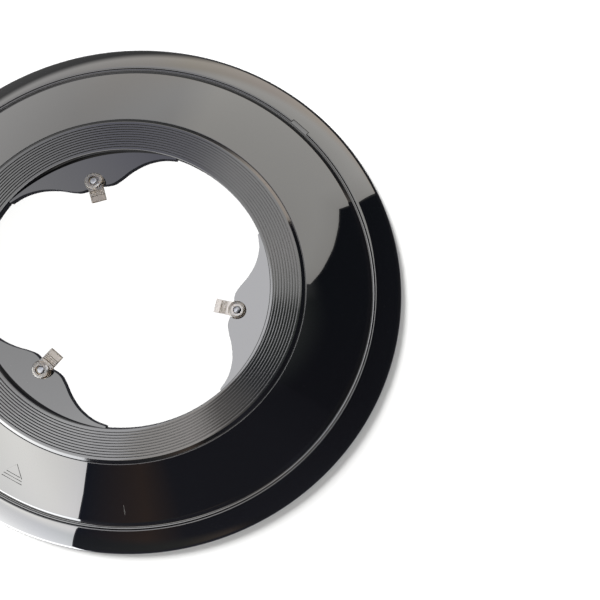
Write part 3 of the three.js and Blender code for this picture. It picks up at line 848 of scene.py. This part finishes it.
class COLLAR_OT_add_rivets(bpy.types.Operator):
    """Adds the clips' domed rivets and slip washers"""
    bl_idname = "collar.add_rivets"
    bl_label = "Rivets and Washers"

    def execute(self, context):
        steel = finish_named("zinc_plated_headed_steel")
        nylon = finish_named("natural_moulded_nylon")
        inner = RIVET_R + GAP
        ring = rounded([(inner, CLIP_Z, 0.08), (WASHER_R, CLIP_Z, 0.15),
                        (WASHER_R, CLIP_Z + WASHER_H, 0.15), (inner, CLIP_Z + WASHER_H, 0.08)], 2)
        for i, joint in enumerate(CLIP_JOINTS, 1):
            rivet, washer = f"clip_rivet_{i}", f"clip_washer_{i}"
            seat = seat_matrix(joint)
            piece = turned(rivet + "_fine", rivet_section(), SMALL_STEPS, closed=False)
            finish_piece(place(piece, seat), steel, "collar", "rivet_steel", rivet)
            piece = turned(washer + "_fine", ring, SMALL_STEPS)
            finish_piece(place(piece, seat), nylon, "collar", "washer_nylon", washer)
        return {"FINISHED"}


def screw_mesh(name, low, high):
    """A pan-head screw put in from below, with a hexagon socket and a threaded shank."""
    top = low + SCREW_HEAD_H
    thread = []
    root = SCREW_R - THREAD_DEPTH
    z = top + 0.8
    while z < high - 1.8:
        thread += [(root, z, 0), (SCREW_R, z + THREAD_PITCH / 2, 0), (root, z + THREAD_PITCH, 0)]
        z += THREAD_PITCH
    piece = turned(name, rounded([
        (0, low, 0), (SCREW_HEAD_R - 0.5, low, 0.3), (SCREW_HEAD_R, low + 0.6, 0.4),
        (SCREW_HEAD_R, top, 0.15), (SCREW_R, top, 0.1),
        *thread, (SCREW_R, high - 0.8, 0), (0, high, 0)], 2), SMALL_STEPS, closed=False)
    return combine(piece, "DIFFERENCE", [pillar("socket", SOCKET_R, low - 1, low + SOCKET_DEPTH, sides=6)])


class COLLAR_OT_add_screws(bpy.types.Operator):
    """Adds the twelve pan-head screws that hold the mouldings together"""
    bl_idname = "collar.add_screws"
    bl_label = "Screws"

    def execute(self, context):
        for group in (RIM_SCREWS, CARRIER_SCREWS):
            low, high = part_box(group[0])
            pattern = screw_mesh("screw_pattern", low.z / MM, high.z / MM)
            for node in group:
                spot = centre_of(node) * MM
                piece = bpy.data.objects.new(node + "_fine", pattern.data.copy())
                context.scene.collection.objects.link(piece)
                turn = Matrix.Rotation(math.atan2(spot.y, spot.x) * 2, 4, "Z")
                place(piece, Matrix.Translation((spot.x, spot.y, 0)) @ turn)
                finish_piece(piece, finish_named("zinc_plated_headed_steel"), "collar", "screw_steel", node)
            bpy.data.objects.remove(pattern)
        return {"FINISHED"}


# ---- stage -----------------------------------------------------------------------------------------------
CAMERA_SPOT = (0.106, -0.0298, 0.3402)
CAMERA_TURN_DEG = (4.59, -7.256, 0.0)
CAMERA_LENS = 32.58  # millimetres, on a 36 mm sensor
CAMERA_SHIFT = -1 / 6  # the collar is framed off centre
LIGHT_FROM_DEG = 135  # the low soft light comes from the upper left
LIGHT_HEIGHT_DEG = 32
LIGHT_SPREAD_DEG = 26
FLOOR_GLOW = 0.06  # light that the paper floor passes from below
REFLECTED = 10.0  # the brightest wall, in units of the white floor
FLOOR_R = 4  # metres

# What the gloss faces mirror, as (direction in degrees, red, green, blue) in tenths of the white floor.
# Directions turn anticlockwise from +X: windows at the lower left, a lit room from 40 to 140 degrees,
# and a dark side between them.
WALLS_BELOW = [(-180, .6, .59, .58), (-150, .75, .75, .74), (-121.2, .7, .71, .73),
               (-121, .012, .012, .015), (36, .007, .007, .008), (110, .03, .03, .03),
               (168, .04, .04, .04), (180, .3, .3, .3)]
WALLS_LOW = [(-180, .50, .49, .47), (-150, .70, .69, .66), (-128, .66, .67, .70),
             (-121.2, .64, .66, .68), (-121, .012, .013, .016), (-97, .026, .026, .024),
             (-85, .066, .05, .04), (-78, .010, .010, .010), (-60, .020, .020, .026),
             (-40, .010, .010, .011), (38, .008, .008, .010), (38.2, .46, .41, .36),
             (57, .47, .41, .36), (68, .43, .385, .34), (78, .38, .34, .31), (98, .31, .285, .25),
             (107, .28, .265, .25), (124, .24, .235, .23), (180, .20, .20, .20)]
WALLS_MID = [(-180, .7, .69, .67), (-150, 1.0, .99, .95), (-128, .94, .93, .91),
             (-121.2, .90, .89, .90), (-121, .010, .012, .018), (-105, .036, .025, .021),
             (-96, .014, .014, .018), (-60, .014, .014, .018), (-30, .009, .009, .012),
             (38, .006, .007, .009), (38.2, .44, .43, .41), (46, .49, .48, .46), (68, .465, .455, .435),
             (90, .42, .41, .39), (99, .33, .325, .32), (116, .28, .28, .28), (140, .22, .22, .22),
             (180, .4, .4, .4)]
WALLS_HIGH = [(-180, .40, .40, .40), (-154, .58, .58, .59), (-146, .72, .72, .73), (-122, .70, .70, .72),
              (-120, .52, .50, .48), (-96, .62, .59, .57), (-86, .16, .15, .14), (-60, .03, .033, .037),
              (30, .05, .055, .05), (44, .36, .36, .35), (70, .46, .45, .44), (112, .48, .48, .48),
              (128, .22, .22, .25), (150, .18, .18, .22), (180, .40, .40, .40)]
SOFTBOX = (.97, .97, 1.0, 1.0)
UNDER = (.012, .012, .014, 1.0)  # the dark underside of the bench
# From low to high: the heights in degrees between which each set of walls takes over.
TIERS = [(-40, -35, WALLS_BELOW), (-7, -1, WALLS_LOW), (4, 11, WALLS_MID), (33, 39, WALLS_HIGH)]
SOFTBOX_FROM, SOFTBOX_FULL = 74, 79
# The lit room's left edge leans: between these heights it moves this many degrees to the left.
LEAN_FROM, LEAN_FULL, LEAN_TURN = 25.5, 34.5, 28.6
LEAN_SIDE = -40.0  # only directions past this one lean
# A ramp is stored in steps of 1.4 degrees, so the two hard edges between light and dark are made by
# leaving out a stretch of ramp that holds the whole change.
SHARP_EDGES = (-121.1, 38.1)
EDGE_SKIP = 4.0


def along_walls(degrees):
    """The place of a direction on the ramps, which skip a few degrees at each sharp edge."""
    skipped = EDGE_SKIP * sum(degrees > edge for edge in SHARP_EDGES)
    return (degrees + 180 + skipped) / (360 + EDGE_SKIP * len(SHARP_EDGES))


def wall_ramp(tree, turn, stops):
    """The colours of one tier of walls, by direction."""
    node = add_node(tree, "ShaderNodeValToRGB", None, {"Fac": turn})
    elements = node.color_ramp.elements
    for _ in stops[2:]:
        elements.new(0.5)
    for element, (degrees, *colour) in zip(elements, stops):
        element.position = along_walls(degrees)
        element.color = (*colour, 1.0)
    return node


def blend_up(tree, height, low, high, below, above):
    """Goes smoothly from one colour to another between two heights in degrees."""
    share = add_node(tree, "ShaderNodeMapRange", {"interpolation_type": "SMOOTHSTEP"}, {
        "Value": height, "From Min": low, "From Max": high})
    return add_node(tree, "ShaderNodeMix", {"data_type": "RGBA"}, {0: share, 6: below, 7: above}).outputs[2]


def studio_world(room_light):
    """Even light for matt faces, and lit and dark walls for gloss faces to mirror."""
    world = bpy.data.worlds.new("studio")
    world.use_nodes = True
    tree = world.node_tree
    tree.nodes.clear()
    math_node = "ShaderNodeMath"
    axes = add_node(tree, "ShaderNodeSeparateXYZ", None, {
        "Vector": add_node(tree, "ShaderNodeTexCoord").outputs["Generated"]})
    around = add_node(tree, math_node, {"operation": "ARCTAN2"}, {0: axes.outputs["Y"], 1: axes.outputs["X"]})
    turn = add_node(tree, math_node, {"operation": "DEGREES"}, {0: around})
    rise = add_node(tree, math_node, {"operation": "ARCSINE"}, {0: axes.outputs["Z"]})
    height = add_node(tree, math_node, {"operation": "DEGREES"}, {0: rise})
    lean = add_node(tree, "ShaderNodeMapRange", None, {
        "Value": height, "From Min": LEAN_FROM, "From Max": LEAN_FULL, "To Max": LEAN_TURN})
    side = add_node(tree, math_node, {"operation": "GREATER_THAN"}, {0: turn, 1: LEAN_SIDE})
    leant = add_node(tree, math_node, {"operation": "MULTIPLY_ADD"}, {0: lean, 1: side, 2: turn})
    spread = leant
    for edge in SHARP_EDGES:
        past = add_node(tree, math_node, {"operation": "GREATER_THAN"}, {0: leant, 1: edge})
        spread = add_node(tree, math_node, {"operation": "MULTIPLY_ADD"}, {0: past, 1: EDGE_SKIP, 2: spread})
    along = add_node(tree, "ShaderNodeMapRange", None, {
        "Value": spread, "From Min": -180.0, "From Max": 180.0 + EDGE_SKIP * len(SHARP_EDGES)})
    colour = UNDER
    for low, high, stops in TIERS:
        colour = blend_up(tree, height, low, high, colour, wall_ramp(tree, along, stops))
    colour = blend_up(tree, height, SOFTBOX_FROM, SOFTBOX_FULL, colour, SOFTBOX)
    mirrored = add_node(tree, "ShaderNodeBackground", None, {"Color": colour, "Strength": REFLECTED})
    even = add_node(tree, "ShaderNodeBackground", None, {"Color": (1, 1, 1, 1), "Strength": room_light})
    seen = add_node(tree, "ShaderNodeBackground", None, {"Color": (1, 1, 1, 1), "Strength": 1.0})
    ray = add_node(tree, "ShaderNodeLightPath")
    lit = add_node(tree, "ShaderNodeMixShader", None, {
        0: ray.outputs["Is Glossy Ray"], 1: even, 2: mirrored})
    full = add_node(tree, "ShaderNodeMixShader", None, {0: ray.outputs["Is Camera Ray"], 1: lit, 2: seen})
    add_node(tree, "ShaderNodeOutputWorld", None, {"Surface": full})
    return world


def paper_floor(colour):
    """Matt white backdrop paper, evenly lit, with a faint fibre mottle of a few millimetres."""
    made, tree, spot = blank("matt_backdrop_paper")
    fibre = add_node(tree, "ShaderNodeTexNoise", None, {"Vector": spot, "Scale": 0.3, "Detail": 3.0})
    deep = [c * 0.985 for c in srgb(colour)[:3]] + [1.0]
    shade = add_node(tree, "ShaderNodeMix", {"data_type": "RGBA"}, {0: fibre, 6: srgb(colour), 7: deep})
    matt = add_node(tree, "ShaderNodeBsdfDiffuse", None, {"Color": shade.outputs[2]})
    glow = add_node(tree, "ShaderNodeEmission", None, {"Color": (1, 1, 1, 1), "Strength": FLOOR_GLOW})
    close(tree, add_node(tree, "ShaderNodeAddShader", None, {0: matt, 1: glow}))
    return made


class COLLAR_OT_set_stage(bpy.types.Operator):
    """Adds the pale floor, the soft light and the camera"""
    bl_idname = "collar.set_stage"
    bl_label = "Stage"

    def execute(self, context):
        scene = context.scene
        studio = scene.collar_studio
        bpy.ops.object.select_all(action="DESELECT")
        bpy.ops.mesh.primitive_circle_add(vertices=96, radius=FLOOR_R, fill_type="NGON",
                                          location=(0, 0, cad_box[0].z))
        floor = context.active_object
        floor.name = "floor"
        floor.data.materials.append(paper_floor(studio.floor_colour))
        floor.visible_glossy = False  # gloss faces mirror the walls below the horizon instead
        scene.world = studio_world(studio.room_light)
        scene.view_settings.view_transform = "Standard"

        rise = math.radians(90 - LIGHT_HEIGHT_DEG)
        bpy.ops.object.light_add(type="SUN", rotation=(rise, 0, math.radians(LIGHT_FROM_DEG + 90)))
        key = context.active_object
        key.name = "soft_key"
        key.data.energy = studio.key_light
        key.data.angle = math.radians(LIGHT_SPREAD_DEG)
        # The key light falls on the floor only, and only the bezel holds it back.
        for field, piece in (("receiver_collection", floor),
                             ("blocker_collection", bpy.data.objects["outer_bezel_fine"])):
            group = bpy.data.collections.new(field)
            group.objects.link(piece)
            setattr(key.light_linking, field, group)

        turn = [math.radians(a) for a in CAMERA_TURN_DEG]
        bpy.ops.object.camera_add(location=CAMERA_SPOT, rotation=turn)
        camera = context.active_object
        camera.data.lens = CAMERA_LENS
        camera.data.sensor_width = 36
        camera.data.shift_x = CAMERA_SHIFT
        camera.data.clip_start = 0.01
        camera.data.clip_end = 20
        scene.camera = camera
        return {"FINISHED"}


class COLLAR_PT_panel(bpy.types.Panel):
    """Lists the collar's sizes, finishes and pieces"""
    bl_idname = "COLLAR_PT_panel"
    bl_label = "Trim Collar"
    bl_space_type = "VIEW_3D"
    bl_region_type = "UI"
    bl_category = "Collar"

    def draw(self, context):
        scene = context.scene
        for group in (scene.collar_sizes, scene.collar_finish, scene.collar_studio):
            box = self.layout.box()
            for name in group.__annotations__:
                box.prop(group, name)
        for operator in OPERATORS:
            self.layout.operator(operator.bl_idname)


GROUPS = {"collar_sizes": CollarSizes, "collar_finish": CollarFinish, "collar_studio": CollarStudio}
OPERATORS = (COLLAR_OT_add_bezel, COLLAR_OT_add_dish, COLLAR_OT_add_band, COLLAR_OT_add_carrier,
             COLLAR_OT_add_gasket, COLLAR_OT_add_clips, COLLAR_OT_add_rivets, COLLAR_OT_add_screws,
             COLLAR_OT_set_stage)


def register():
    for made in (*GROUPS.values(), *OPERATORS, COLLAR_PT_panel):
        bpy.utils.register_class(made)
    for name, group in GROUPS.items():
        setattr(bpy.types.Scene, name, bpy.props.PointerProperty(type=group))


def unregister():
    for name in GROUPS:
        delattr(bpy.types.Scene, name)
    for made in (COLLAR_PT_panel, *reversed(OPERATORS), *reversed(tuple(GROUPS.values()))):
        bpy.utils.unregister_class(made)


def main():
    register()
    bpy.ops.collar.add_bezel()
    bpy.ops.collar.add_dish()
    bpy.ops.collar.add_band()
    bpy.ops.collar.add_carrier()
    bpy.ops.collar.add_gasket()
    bpy.ops.collar.add_clips()
    bpy.ops.collar.add_rivets()
    bpy.ops.collar.add_screws()
    bpy.ops.collar.set_stage()


if __name__ == "__main__":
    main()
